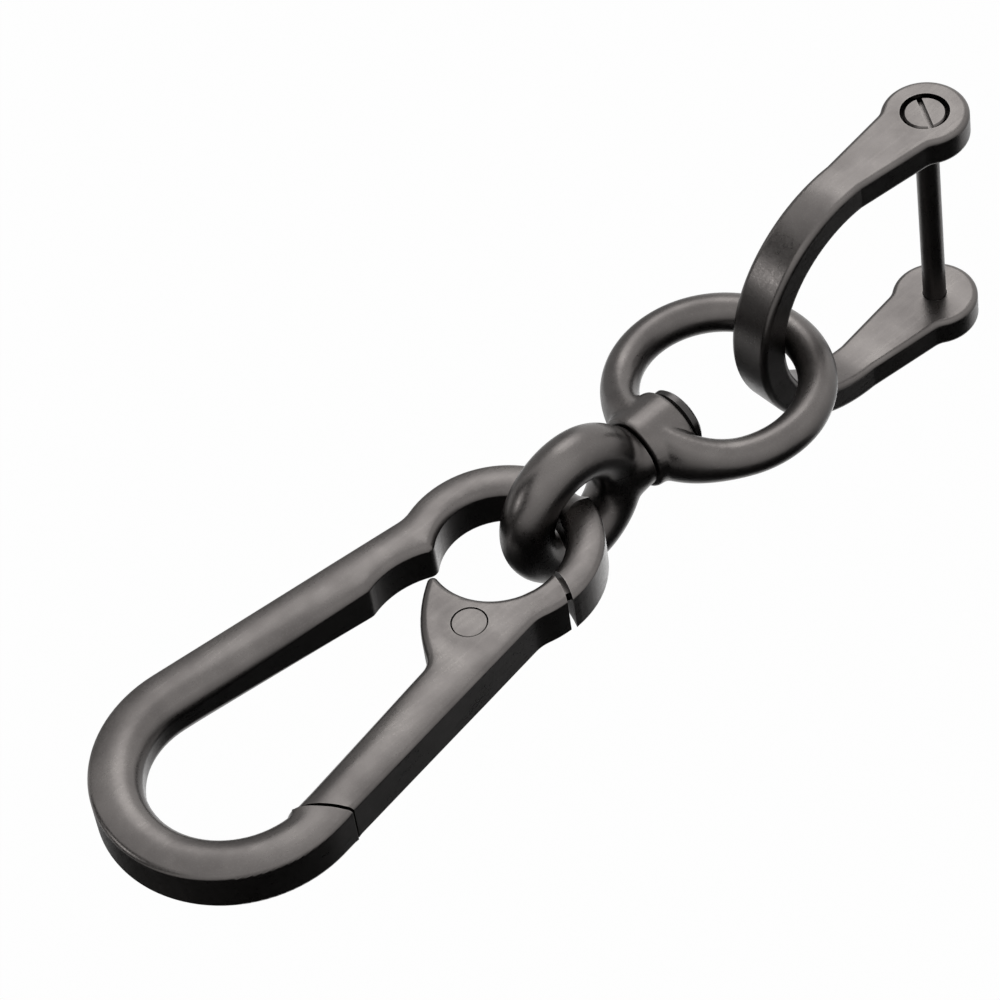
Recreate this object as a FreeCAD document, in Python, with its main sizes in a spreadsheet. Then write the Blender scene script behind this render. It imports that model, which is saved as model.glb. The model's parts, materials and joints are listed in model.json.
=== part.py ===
import FreeCAD, Part
import math
import os

import Sketcher

# Belt key clip, hanging from its hook. Millimetres, +Z up, the face with the screw head towards -Y.
# The origin is the point inside the hook that a belt loop bears on. The gate is on the -X side.

SIZES = [
    ("clip_thickness", 5.5, "clip body and gate, face to face"),
    ("hook_inner_radius", 8.65, "inside of the hook"),
    ("hook_bar_width", 5.25, "hook and spine, across the bar"),
    ("hook_to_eye", 36.0, "hook centre to small eye centre"),
    ("eye_outer_radius", 10.5, "outside of the small eye"),
    ("eye_bar_width", 3.9, "bar round the small eye"),
    ("waist_inset", 0.75, "waist above the small eye, inside the eye's widest place"),
    ("waist_blend", 4.0, "radius that eases the waist"),
    ("scoop_above_pin", 3.6, "pivot pin up to the first cusp of the spine"),
    ("scoop_depth", 0.9, "hollow between the spine's cusps"),
    ("cusp_round", 1.0, "radius on the spine's cusps"),
    ("outer_round", 0.5, "outer edges of clip body and gate"),
    ("inner_round", 0.8, "inner edges of clip body and gate"),
    ("nose_drop", 2.3, "hook centre down to the middle of the nose seam"),
    ("nose_slant", 38.0, "degrees that the nose seam leans across the bar"),
    ("nose_face_radius", 24.0, "bulge of the nose's end face"),
    ("nose_gap", 0.35, "nose to gate at rest"),
    ("pin_above_eye", 2.4, "inside of the small eye up to the pivot pin"),
    ("pin_in_side", 5.14, "clip's straight side in to the pivot pin"),
    ("pin_diameter", 3.74, "pivot pin"),
    ("pin_seat_clearance", 0.02, "pin in the gate's cheeks, each side"),
    ("pin_running_clearance", 0.05, "pin in the tongue's eye, each side"),
    ("pin_sink", 0.06, "pin ends below the gate's faces"),
    ("pin_chamfer", 0.15, "broken edge on the pin's ends"),
    ("gate_setback", 0.15, "gate's outer edge inside the clip's outline"),
    ("gate_bar_width", 5.3, "gate, across its bar"),
    ("arm_past_eye", 0.85, "end of the gate's arm past the small eye's middle, round the pin"),
    ("arm_gap", 0.6, "upper arm to the clip body's end"),
    ("gate_eye_ease", 0.2, "gate's hollow, wider than the small eye"),
    ("gate_eye_shift", 0.5, "that hollow's centre above the eye's own"),
    ("horn_past_axis", 2.8, "horn tip past the clip axis"),
    ("horn_belly", 1.0, "bulge of the horn's upper edge"),
    ("horn_round", 0.55, "radius on the horn's tip"),
    ("elbow_above_pin", 6.0, "pivot pin up to the gate's elbow"),
    ("elbow_round", 2.0, "radius in the gate's elbow"),
    ("gate_opening", 22.0, "degrees that the gate swings inward"),
    ("cheek_thickness", 0.95, "gate wall each side of its slot"),
    ("fan_margin", 5.0, "degrees that the slot is cut past the gate's swing"),
    ("slot_clearance", 0.25, "slot walls round the tongue"),
    ("tongue_thickness", 1.1, "tongue, along the pin"),
    ("tongue_width", 2.2, "tongue, across"),
    ("tongue_lean", 16.0, "degrees that the tongue leans off the clip axis"),
    ("tongue_eye_radius", 3.1, "tongue's eye round the pin"),
    ("lug_radius", 4.9, "pin to the middle of the tongue's spring lug"),
    ("lug_length", 1.2, "spring lug, along the tongue"),
    ("lug_height", 1.0, "spring lug, above the tongue"),
    ("spring_wire", 0.35, "gate spring wire"),
    ("spring_mean_radius", 2.45, "pin axis to the middle of the spring wire"),
    ("spring_turns", 2, "whole turns of the gate spring"),
    ("spring_end_gap", 0.15, "spring to the tongue and to the cheek"),
    ("spring_leg", 2.7, "gate leg of the spring"),
    ("spring_lug_gap", 0.1, "spring legs to the lug and to the notch"),
    ("link_clearance", 0.27, "clip eye to swivel eye where they bear"),
    ("bow_clearance", 0.4, "ring to shackle where they bear"),
    ("seat_groove_clearance", 0.05, "clip eye's bearing seat, beyond half its bar"),
    ("loop_hole_radius", 3.35, "hole in the swivel eye"),
    ("loop_wire", 5.6, "swivel eye, across its round bar"),
    ("neck_height", 8.45, "swivel eye's centre to its shoulder"),
    ("neck_diameter", 7.2, "swivel eye's shoulder"),
    ("neck_rim", 0.6, "swivel eye's shoulder, its straight rim"),
    ("neck_length", 2.4, "swivel eye's shoulder with its flare"),
    ("swivel_play", 0.25, "collar to the shoulder and to the rivet head"),
    ("rivet_shank_diameter", 3.2, "rivet through the collar"),
    ("rivet_running_clearance", 0.06, "rivet in the collar, each side"),
    ("rivet_seat_clearance", 0.02, "rivet in the swivel eye, each side"),
    ("rivet_tail", 3.4, "rivet below the shoulder, in the swivel eye"),
    ("rivet_head_diameter", 6.9, "rivet head"),
    ("rivet_head_height", 2.2, "rivet head, in the middle"),
    ("rivet_rim_height", 1.1, "rivet head, at its rim"),
    ("rivet_step", 0.25, "each of the turned steps on the rivet head"),
    ("ring_inner_radius", 8.1, "inside of the ring"),
    ("ring_bar", 4.1, "ring, across its round bar"),
    ("collar_diameter", 8.4, "barrel collar"),
    ("collar_rise", 1.1, "collar past the ring's inside"),
    ("collar_lip", 0.07, "collar past the ring's outside"),
    ("collar_blend", 1.4, "radius between the collar and the ring"),
    ("shackle_inner_radius", 11.9, "inside of the shackle's bow"),
    ("shackle_thickness", 3.5, "shackle, across its strap"),
    ("bow_width", 4.8, "strap at the bow"),
    ("arm_width", 7.0, "strap beside the boss"),
    ("arm_length", 12.0, "bow centre to the screw axis"),
    ("boss_diameter", 9.2, "bosses at the arm ends"),
    ("boss_blend", 2.2, "radius between the boss and the strap"),
    ("shackle_edge_round", 0.65, "long edges of the shackle"),
    ("screw_shank_diameter", 2.5, "shackle screw"),
    ("screw_clearance", 0.06, "screw in the shackle, each side"),
    ("screw_head_diameter", 4.5, "slotted head"),
    ("screw_head_height", 1.6, "slotted head"),
    ("screw_sink", 0.15, "head and tip below the bosses' faces"),
    ("recess_diameter", 5.2, "recess round the head"),
    ("head_seat_gap", 0.05, "head to the recess floor"),
    ("slot_width", 0.6, "driver slot"),
    ("slot_depth", 0.7, "driver slot"),
    ("thread_pitch", 0.45, "grooves at the screw's tip"),
    ("thread_depth", 0.2, "grooves at the screw's tip"),
    ("thread_grooves", 7, "grooves at the screw's tip"),
]

doc = FreeCAD.newDocument("belt_key_clip")
sheet = doc.addObject("Spreadsheet::Sheet", "dims")
for row, (alias, value, note) in enumerate(SIZES, start=1):
    sheet.set("A%d" % row, str(value))
    sheet.setAlias("A%d" % row, alias)
    sheet.set("B%d" % row, note)
doc.recompute()


def size(alias):
    """A driving dimension, as the sheet holds it."""
    return float(sheet.get(alias))


# Geometry in a sketch's own plane


def point(x, y):
    return FreeCAD.Vector(x, y, 0)


def line(start, end):
    return Part.LineSegment(start, end)


def arc(centre, start, end):
    """The arc from start round to end, anticlockwise about centre."""
    spoke = start - centre
    first = math.atan2(spoke.y, spoke.x)
    spoke = end - centre
    last = math.atan2(spoke.y, spoke.x)
    if last < first:
        last += 2 * math.pi
    circle = Part.Circle(centre, FreeCAD.Vector(0, 0, 1), spoke.Length)
    return Part.ArcOfCircle(circle, first, last)


def bowed(start, end, bulge):
    """The arc from start to end that stands off their chord by bulge, to the right for a positive one."""
    chord = end - start
    half = chord.Length / 2
    radius = (half * half + bulge * bulge) / (2 * abs(bulge))
    right = point(chord.y, -chord.x) / chord.Length
    side = math.copysign(1, bulge)
    centre = (start + end) / 2 + right * (bulge - side * radius)
    return arc(centre, start, end) if side > 0 else arc(centre, end, start)


def crossing(centre_a, radius_a, centre_b, radius_b, side):
    """Where two circles cross: side 1 is on the left of the way from a to b, -1 on the right."""
    way = centre_b - centre_a
    apart = way.Length
    ahead = (radius_a ** 2 - radius_b ** 2 + apart ** 2) / (2 * apart)
    off = math.sqrt(radius_a ** 2 - ahead ** 2)
    way = way / apart
    return centre_a + way * ahead + point(-way.y, way.x) * (off * side)


def line_crossing(start, way, centre, radius, ahead):
    """Where a line meets a circle: the crossing further along the way if ahead is 1, the nearer for -1."""
    middle = (centre - start).dot(way)
    foot = start + way * middle
    off = (foot - centre).Length
    return foot + way * (ahead * math.sqrt(radius ** 2 - off ** 2))


# Sketches and features


def new_body(name):
    body = doc.addObject("PartDesign::Body", name)
    body.Label = name
    return body


def new_sketch(body, name, plane, offset=None):
    """A sketch on one of the body's own planes, moved along its normal by an expression."""
    made = body.newObject("Sketcher::SketchObject", name)
    support = [feature for feature in body.Origin.OriginFeatures if feature.Role == plane][0]
    made.AttachmentSupport = (support, [""])
    made.MapMode = "FlatFace"
    if offset:
        made.setExpression("AttachmentOffset.Base.z", offset)
    return made


def draw(made, chain, radii=()):
    """Draws a closed chain, ties each piece's end to the next, and binds the arcs' radii to the sheet."""
    ids = made.addGeometry(chain, False)
    ends = [(geometry.StartPoint, geometry.EndPoint) for geometry in chain]
    for here in range(len(chain)):
        there = (here + 1) % len(chain)
        gaps = [
            (ends[here][a].distanceToPoint(ends[there][b]), a + 1, b + 1)
            for a in (0, 1)
            for b in (0, 1)
        ]
        gap, mine, other = min(gaps)
        made.addConstraint(Sketcher.Constraint("Coincident", ids[here], mine, ids[there], other))
    for place, expression in radii:
        bind(made, Sketcher.Constraint("Radius", ids[place], chain[place].Radius), expression)
    return ids


def draw_circle(made, centre, expression, radius):
    """A circle whose radius is bound to the sheet."""
    ring = made.addGeometry(Part.Circle(centre, FreeCAD.Vector(0, 0, 1), radius), False)
    bind(made, Sketcher.Constraint("Radius", ring, radius), expression)


def bind(made, constraint, expression):
    index = made.addConstraint(constraint)
    made.setExpression("Constraints[%d]" % index, expression)


def add(body, kind, name, **settings):
    """A feature of a body: texts bind the property to the sheet, lists pick from it, the rest is set."""
    feature = body.newObject("PartDesign::" + kind, name)
    for key, value in settings.items():
        prop = key.replace("__", ".")
        if isinstance(value, str) and "dims." in value:
            feature.setExpression(prop, value)
        else:
            setattr(feature, prop, value)
    doc.recompute()
    return feature


def both_ways(body, kind, name, profile, length):
    """A pad or pocket that runs half its length to each side of its sketch."""
    return add(body, kind, name, Profile=profile, SideType="Symmetric", Length=length)


def edges_where(feature, test):
    return ["Edge%d" % n for n, edge in enumerate(feature.Shape.Edges, start=1) if test(edge)]


def round_edges(body, feature, name, test, radius):
    """A fillet on the edges of a feature that pass a test."""
    picked = edges_where(feature, test)
    if not picked:
        raise ValueError("no edges for " + name)
    return add(body, "Fillet", name, Base=(feature, picked), Radius=radius)


def middle(edge):
    return edge.valueAt((edge.FirstParameter + edge.LastParameter) / 2)


def stands_at(places, tolerance=0.02):
    """Tests for a straight edge along Y that stands at one of these places of the clip's plane."""
    def test(edge):
        at = middle(edge)
        along_y = abs(edge.Vertexes[0].Y - edge.Vertexes[-1].Y) > tolerance
        return along_y and any(math.hypot(at.x - p.x, at.z - p.y) < tolerance for p in places)
    return test


def on_faces(half_thickness, spared=()):
    """Tests for an edge in the clip's front or back face, off the circles (centre, radius) in spared."""
    def test(edge):
        at = middle(edge)
        flat = all(abs(abs(v.Y) - half_thickness) < 1e-4 for v in edge.Vertexes)
        if not flat or abs(abs(at.y) - half_thickness) > 1e-4:
            return False
        return all(abs(math.hypot(at.x - c.x, at.z - c.y) - r) > 1e-3 for c, r in spared)
    return test


# The clip's plane, with x to the spine side and y up

HOOK = point(0, -size("hook_inner_radius"))
EYE = HOOK - point(0, size("hook_to_eye"))
HOOK_OUTER = size("hook_inner_radius") + size("hook_bar_width")
EYE_INNER = size("eye_outer_radius") - size("eye_bar_width")
WAIST_HALF = size("eye_outer_radius") - size("waist_inset")
WAIST = point(WAIST_HALF, EYE.y + math.sqrt(size("eye_outer_radius") ** 2 - WAIST_HALF ** 2))


def lean_of_sides():
    """The angle between the clip's axis and its straight sides, from the hook's rim to the waist."""
    reach = WAIST - HOOK
    return math.atan2(-reach.y, reach.x) - math.acos(HOOK_OUTER / reach.Length)


LEAN = lean_of_sides()
OUTWARD = point(math.cos(LEAN), -math.sin(LEAN))
DOWN = point(-math.sin(LEAN), -math.cos(LEAN))


def mirrored(p):
    return point(-p.x, p.y)


def on_side(distance, drop):
    """A point of the line that runs beside the spine at a distance from the hook's centre."""
    start = HOOK + OUTWARD * distance
    return start + DOWN * ((HOOK.y - drop - start.y) / DOWN.y)


def nose_circle():
    """Centre of the arc that the nose's end face follows, on the gate side."""
    middle_of_bar = size("hook_inner_radius") + size("hook_bar_width") / 2
    seam = mirrored(on_side(middle_of_bar, size("nose_drop")))
    slant = math.radians(size("nose_slant"))
    towards_gate = point(math.sin(slant), -math.cos(slant))
    return seam - towards_gate * size("nose_face_radius")


PIN_UP = EYE_INNER + size("pin_above_eye")
PIN = mirrored(on_side(HOOK_OUTER - size("pin_in_side"), size("hook_to_eye") - PIN_UP))
ARM = PIN_UP + size("arm_past_eye")
ARM_SIZE = "dims.eye_outer_radius - dims.eye_bar_width + dims.pin_above_eye + dims.arm_past_eye"
NOSE = nose_circle()
TONGUE = math.radians(size("tongue_lean"))
TONGUE_WAY = point(-math.sin(TONGUE), -math.cos(TONGUE))
TONGUE_OUT = point(-math.cos(TONGUE), math.sin(TONGUE))
SLOT_HALF = size("clip_thickness") / 2 - size("cheek_thickness")
PAST_EDGE = 2.0


def outline_sketch(body):
    """The clip's pear outline, symmetric about its axis."""
    rim = HOOK + OUTWARD * HOOK_OUTER
    chain = [
        arc(HOOK, rim, mirrored(rim)),
        line(mirrored(rim), mirrored(WAIST)),
        arc(EYE, mirrored(WAIST), WAIST),
        line(WAIST, rim),
    ]
    made = new_sketch(body, "clip_outline", "XZ_Plane")
    draw(made, chain, [(0, "dims.hook_inner_radius + dims.hook_bar_width"), (2, "dims.eye_outer_radius")])
    return made


def opening_sketch(body):
    """Everything inside the clip body, and the gap in its side where the gate goes."""
    hook_inner = size("hook_inner_radius")
    spine = HOOK + OUTWARD * hook_inner
    first_cusp = on_side(hook_inner, HOOK.y - PIN.y - size("scoop_above_pin"))
    second_cusp = line_crossing(spine, DOWN, EYE, EYE_INNER, -1)
    seam = ARM + size("arm_gap")
    seam_inner = crossing(EYE, EYE_INNER, PIN, seam, 1)
    seam_outer = crossing(EYE, size("eye_outer_radius") + PAST_EDGE, PIN, seam, 1)
    nose_outer = crossing(HOOK, HOOK_OUTER + PAST_EDGE, NOSE, size("nose_face_radius"), 1)
    nose_inner = crossing(HOOK, hook_inner, NOSE, size("nose_face_radius"), 1)
    chain = [
        arc(HOOK, spine, nose_inner),
        arc(NOSE, nose_outer, nose_inner),
        line(nose_outer, seam_outer),
        arc(PIN, seam_outer, seam_inner),
        arc(EYE, seam_inner, second_cusp),
        bowed(second_cusp, first_cusp, size("scoop_depth")),
        line(first_cusp, spine),
    ]
    made = new_sketch(body, "clip_opening", "XZ_Plane")
    radii = [
        (0, "dims.hook_inner_radius"),
        (1, "dims.nose_face_radius"),
        (3, ARM_SIZE + " + dims.arm_gap"),
        (4, "dims.eye_outer_radius - dims.eye_bar_width"),
    ]
    draw(made, chain, radii)
    return made, (first_cusp, second_cusp)


def on_rim(edge):
    """Tests for an edge along the clip's pear outline, or along the gate's, which follows it."""
    near = size("gate_setback") + 1e-3
    at = middle(edge)
    place = point(abs(at.x), at.z)
    from_hook = place - HOOK
    return (
        abs(from_hook.Length - HOOK_OUTER) < near
        or abs(from_hook.dot(OUTWARD) - HOOK_OUTER) < near
        or abs((place - EYE).Length - size("eye_outer_radius")) < near
        or (place - WAIST).Length < size("waist_blend") / 2
    )


def round_faces(body, feature, name, seams):
    """Rounds the edges of both faces, inside and then along the rim, and leaves those at the seams sharp."""
    face_edge = on_faces(size("clip_thickness") / 2, seams)
    inside = round_edges(
        body, feature, name + "_inside",
        lambda edge: face_edge(edge) and not on_rim(edge), "dims.inner_round",
    )
    round_edges(
        body, inside, name + "_rim",
        lambda edge: face_edge(edge) and on_rim(edge), "dims.outer_round",
    )


def strip(start, way, length, half_width):
    """A closed strip of lines from start along a way."""
    side = point(-way.y, way.x) * half_width
    corners = [start + side, start - side, start - side + way * length, start + side + way * length]
    return [line(corners[n], corners[(n + 1) % 4]) for n in range(4)]


def make_clip_body():
    """Cast body: hook, spine, small eye, nose and the tongue that runs into the gate."""
    body = new_body("clip_body")
    pad = both_ways(body, "Pad", "clip_slab", outline_sketch(body), "dims.clip_thickness")
    waist = round_edges(
        body, pad, "clip_waist", stands_at([WAIST, mirrored(WAIST)]), "dims.waist_blend"
    )
    opening, cusps = opening_sketch(body)
    through = "dims.clip_thickness + dims.clip_thickness"
    cut = both_ways(body, "Pocket", "clip_mouth", opening, through)
    eased = round_edges(body, cut, "spine_cusps", stands_at(cusps), "dims.cusp_round")
    seams = [
        (PIN, ARM + size("arm_gap")),
        (NOSE, size("nose_face_radius")),
    ]
    round_faces(body, eased, "clip", seams)
    add_tongue(body)
    add(
        body, "SubtractiveTorus", "eye_seat",
        Radius1="dims.eye_bar_width / 2 + dims.link_clearance + dims.loop_wire / 2",
        Radius2="dims.loop_wire / 2 + dims.link_clearance - dims.seat_groove_clearance",
        Placement=TURN_TO_X, Placement__Base__z=EYE_BAR_Z,
    )
    return body


def add_tongue(body):
    """The tongue runs from the clip body's end to its eye round the pin, beside one cheek of the gate."""
    low = "dims.clip_thickness / 2 - dims.cheek_thickness - dims.slot_clearance"
    strap = new_sketch(body, "tongue_strap", "XZ_Plane", low)
    into_body = size("arm_gap") + size("tongue_width") / 2
    draw(strap, strip(PIN, TONGUE_WAY, ARM + into_body, size("tongue_width") / 2))
    add(body, "Pad", "tongue", Profile=strap, Length="dims.tongue_thickness", Reversed=True)
    eye = new_sketch(body, "tongue_eye_outline", "XZ_Plane", low)
    draw_circle(eye, PIN, "dims.tongue_eye_radius", size("tongue_eye_radius"))
    add(body, "Pad", "tongue_eye", Profile=eye, Length="dims.tongue_thickness", Reversed=True)
    lug = new_sketch(body, "lug_outline", "XZ_Plane", low + " - dims.tongue_thickness")
    start = PIN + TONGUE_WAY * (size("lug_radius") - size("lug_length") / 2)
    draw(lug, strip(start, TONGUE_WAY, size("lug_length"), size("tongue_width") / 2))
    add(body, "Pad", "spring_lug", Profile=lug, Length="dims.lug_height", Reversed=True)
    bore = new_sketch(body, "tongue_bore", "XZ_Plane")
    running = size("pin_diameter") / 2 + size("pin_running_clearance")
    draw_circle(bore, PIN, "dims.pin_diameter / 2 + dims.pin_running_clearance", running)
    both_ways(body, "Pocket", "tongue_hole", bore, "dims.clip_thickness")


def gate_sketch(body):
    """The lever's outline: bar, elbow, horn, hollow round the small eye and upper arm."""
    outer = HOOK_OUTER - size("gate_setback")
    inner = outer - size("gate_bar_width")
    rim = size("eye_outer_radius") - size("gate_setback")
    face = size("nose_face_radius") + size("nose_gap")
    hollow = EYE + point(0, size("gate_eye_shift"))
    hollow_radius = EYE_INNER + size("gate_eye_ease")
    down = mirrored(DOWN)
    waist = line_crossing(mirrored(on_side(outer, 0)), down, EYE, rim, -1)
    arm_outer = crossing(EYE, rim, PIN, ARM, 1)
    arm_inner = crossing(hollow, hollow_radius, PIN, ARM, 1)
    past = size("horn_past_axis")
    tip = hollow + point(past, math.sqrt(hollow_radius ** 2 - past ** 2))
    elbow = mirrored(on_side(inner, HOOK.y - PIN.y - size("elbow_above_pin")))
    end_inner = line_crossing(mirrored(on_side(inner, 0)), down, NOSE, face, 1)
    end_outer = line_crossing(mirrored(on_side(outer, 0)), down, NOSE, face, 1)
    chain = [
        line(end_outer, waist),
        arc(EYE, waist, arm_outer),
        arc(PIN, arm_outer, arm_inner),
        arc(hollow, tip, arm_inner),
        bowed(tip, elbow, size("horn_belly")),
        line(elbow, end_inner),
        arc(NOSE, end_outer, end_inner),
    ]
    made = new_sketch(body, "gate_outline", "XZ_Plane")
    radii = [
        (1, "dims.eye_outer_radius - dims.gate_setback"),
        (2, ARM_SIZE),
        (3, "dims.eye_outer_radius - dims.eye_bar_width + dims.gate_eye_ease"),
        (6, "dims.nose_face_radius + dims.nose_gap"),
    ]
    draw(made, chain, radii)
    return made, waist, tip, elbow


def make_gate():
    """Cast lever with a slot that the tongue and the spring live in."""
    body = new_body("gate")
    outline, waist, tip, elbow = gate_sketch(body)
    pad = both_ways(body, "Pad", "gate_slab", outline, "dims.clip_thickness")
    eased = round_edges(body, pad, "gate_waist", stands_at([waist]), "dims.waist_blend")
    eased = round_edges(body, eased, "gate_elbow", stands_at([elbow]), "dims.elbow_round")
    eased = round_edges(body, eased, "horn_tip", stands_at([tip]), "dims.horn_round")
    seams = [
        (PIN, ARM),
        (NOSE, size("nose_face_radius") + size("nose_gap")),
    ]
    round_faces(body, eased, "gate", seams)
    width = "dims.clip_thickness - 2 * dims.cheek_thickness"
    room = new_sketch(body, "hub_room", "XZ_Plane")
    clear = size("tongue_eye_radius") + size("slot_clearance")
    draw_circle(room, PIN, "dims.tongue_eye_radius + dims.slot_clearance", clear)
    both_ways(body, "Pocket", "hub_slot", room, width)
    fan = new_sketch(body, "tongue_fan", "XZ_Plane")
    draw(fan, fan_chain())
    both_ways(body, "Pocket", "arm_slot", fan, width)
    notch = new_sketch(body, "leg_notch_outline", "XZ_Plane")
    lead = spring_lead()
    leg_way = point(math.cos(lead), -math.sin(lead))
    leg_room = size("spring_wire") / 2 + size("spring_lug_gap")
    leg_start = round_pin(lead, size("spring_mean_radius"))
    draw(notch, strip(leg_start, leg_way, size("spring_leg") + leg_room, leg_room))
    both_ways(body, "Pocket", "leg_notch", notch, width)
    seat = new_sketch(body, "pin_seat", "XZ_Plane")
    fit = size("pin_diameter") / 2 + size("pin_seat_clearance")
    draw_circle(seat, PIN, "dims.pin_diameter / 2 + dims.pin_seat_clearance", fit)
    both_ways(body, "Pocket", "pin_hole", seat, "dims.clip_thickness + dims.clip_thickness")
    return body


def fan_chain():
    """The space in the gate that the tongue sweeps as the gate opens, out past the arm's end."""
    half = size("tongue_width") / 2 + size("slot_clearance")
    past_end = ARM + PAST_EDGE
    stop_margin = math.radians(size("fan_margin"))
    swung = TONGUE - math.radians(size("gate_opening")) - stop_margin
    swung_way = point(-math.sin(swung), -math.cos(swung))
    swung_in = point(math.cos(swung), -math.sin(swung))
    corners = [
        PIN + TONGUE_OUT * half,
        PIN + TONGUE_OUT * half + TONGUE_WAY * past_end,
        PIN + swung_in * half + swung_way * past_end,
        PIN + swung_in * half,
    ]
    return [line(corners[n], corners[(n + 1) % 4]) for n in range(4)]


def make_gate_pivot_pin():
    """Plain pin, riveted flush in the gate's cheeks."""
    body = new_body("gate_pivot_pin")
    disc = new_sketch(body, "pin_section", "XZ_Plane")
    draw_circle(disc, PIN, "dims.pin_diameter / 2", size("pin_diameter") / 2)
    pad = both_ways(body, "Pad", "pin_bar", disc, "dims.clip_thickness - 2 * dims.pin_sink")
    rims = edges_where(pad, lambda edge: edge.Curve.TypeId == "Part::GeomCircle")
    add(body, "Chamfer", "pin_ends", Base=(pad, rims), Size="dims.pin_chamfer")
    return body


def biarc(start, start_way, end, end_way):
    """Two arcs that leave start and reach end along the given ways."""
    chord = end - start
    ways = start_way + end_way
    spread = 2 * (1 - start_way.dot(end_way))
    reach = chord.dot(ways)
    arm = (math.sqrt(reach ** 2 + spread * chord.dot(chord)) - reach) / spread
    joint = (start + start_way * arm + end - end_way * arm) / 2
    return [arc_from(start, start_way, joint), arc_from(end, end_way * -1, joint)]


def arc_from(start, way, end):
    """The arc in space that leaves start along a way and reaches end."""
    chord = end - start
    along = chord / chord.Length
    side = way - along * way.dot(along)
    turn = math.atan2(side.Length, way.dot(along))
    bulge = side / side.Length * (chord.Length / 2 * math.tan(turn / 2))
    return Part.Arc(start, (start + end) / 2 + bulge, end).toShape()


def lug_leg_end():
    """How far the spring's lug leg ends from the pin, along the tongue and beside it."""
    along = size("lug_radius") + size("lug_length") / 2
    return along, size("tongue_width") / 2 + size("spring_lug_gap") + size("spring_wire") / 2


def spring_lead():
    """The angle round the pin, from straight down towards the gate's outer edge, where the coil starts."""
    along, beside = lug_leg_end()
    tilt = math.asin(size("spring_mean_radius") / math.hypot(along, beside)) - math.atan2(beside, along)
    return TONGUE + tilt - math.pi / 2


def round_pin(angle, radius):
    """A place in the clip's plane at an angle round the pin."""
    return PIN + point(-math.sin(angle), -math.cos(angle)) * radius


def make_gate_spring():
    """Torsion spring round the pin: one leg on the tongue's lug, the other in the gate's notch."""
    wire = size("spring_wire")
    mean = size("spring_mean_radius")
    tongue_top = -SLOT_HALF + size("slot_clearance") + size("tongue_thickness")
    low = tongue_top + size("spring_end_gap") + wire / 2
    high = SLOT_HALF - size("spring_end_gap") - wire / 2
    quarter = math.pi / 2
    last = 2 * math.pi * int(size("spring_turns"))
    rise = (high - low) / (last - quarter)
    lead = spring_lead()

    def slope(turn):
        return rise * min(1, turn / quarter, (last - turn) / quarter)

    def height(turn):
        eased = min(turn, quarter) ** 2 / (2 * quarter)
        flat = max(0, turn - last + quarter) ** 2 / (2 * quarter)
        return low + rise * (eased + max(0, turn - quarter) - flat)

    def at(turn):
        place = round_pin(lead - turn, mean)
        return FreeCAD.Vector(place.x, height(turn), place.y)

    def way(turn):
        tangent = FreeCAD.Vector(mean * math.cos(lead - turn), slope(turn), -mean * math.sin(lead - turn))
        return tangent / tangent.Length

    lug_leg = math.sqrt(math.hypot(*lug_leg_end()) ** 2 - mean ** 2)
    edges = [Part.LineSegment(at(0) - way(0) * lug_leg, at(0)).toShape()]
    for step in range(round(last / quarter)):
        here = step * quarter
        there = here + quarter
        edges += biarc(at(here), way(here), at(there), way(there))
    edges.append(Part.LineSegment(at(last), at(last) + way(last) * size("spring_leg")).toShape())
    path = Part.Wire(Part.__sortEdges__(edges))
    section = Part.Wire(Part.makeCircle(wire / 2, at(0) - way(0) * lug_leg, way(0)))
    spring = doc.addObject("Part::Feature", "gate_spring")
    spring.Label = "gate_spring"
    spring.Shape = path.makePipeShell([section], True, False)
    least = height(2 * math.pi) - height(0)
    print("gate_spring least gap to itself: %.3f mm" % (least * mean / math.hypot(mean, rise) - wire))
    return spring


# The links below the clip, each modelled about its own centre and hung in its place

EYE_BAR_Z = "-(dims.hook_inner_radius + dims.hook_to_eye + dims.eye_outer_radius - dims.eye_bar_width / 2)"
LOOP_Z = EYE_BAR_Z + " - (dims.loop_hole_radius - dims.eye_bar_width / 2 - dims.link_clearance)"
COLLAR_Z = LOOP_Z + " - dims.neck_height - dims.swivel_play"
RING_Z = COLLAR_Z + " - dims.collar_lip - dims.ring_bar - dims.ring_inner_radius"
BOW_Z = RING_Z + " - dims.ring_inner_radius + dims.bow_clearance - dims.shackle_inner_radius"


def hang(body, height):
    body.setExpression("Placement.Base.z", height)


TURN_TO_X = FreeCAD.Placement(FreeCAD.Vector(0, 0, 0), FreeCAD.Rotation(FreeCAD.Vector(0, 1, 0), 90))
TURN_TO_Y = FreeCAD.Placement(FreeCAD.Vector(0, 0, 0), FreeCAD.Rotation(FreeCAD.Vector(1, 0, 0), 90))


def round_section(body, name, chain):
    """A solid of revolution about the body's Z axis, from a chain in its XZ plane."""
    made = new_sketch(body, name + "_section", "XZ_Plane")
    draw(made, chain)
    return add(body, "Revolution", name, Profile=made, ReferenceAxis=(made, ["V_Axis"]))


def polygon(corners):
    return [line(corners[n], corners[(n + 1) % len(corners)]) for n in range(len(corners))]


def square(half):
    return polygon([point(-half, -half), point(half, -half), point(half, half), point(-half, half)])


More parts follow.
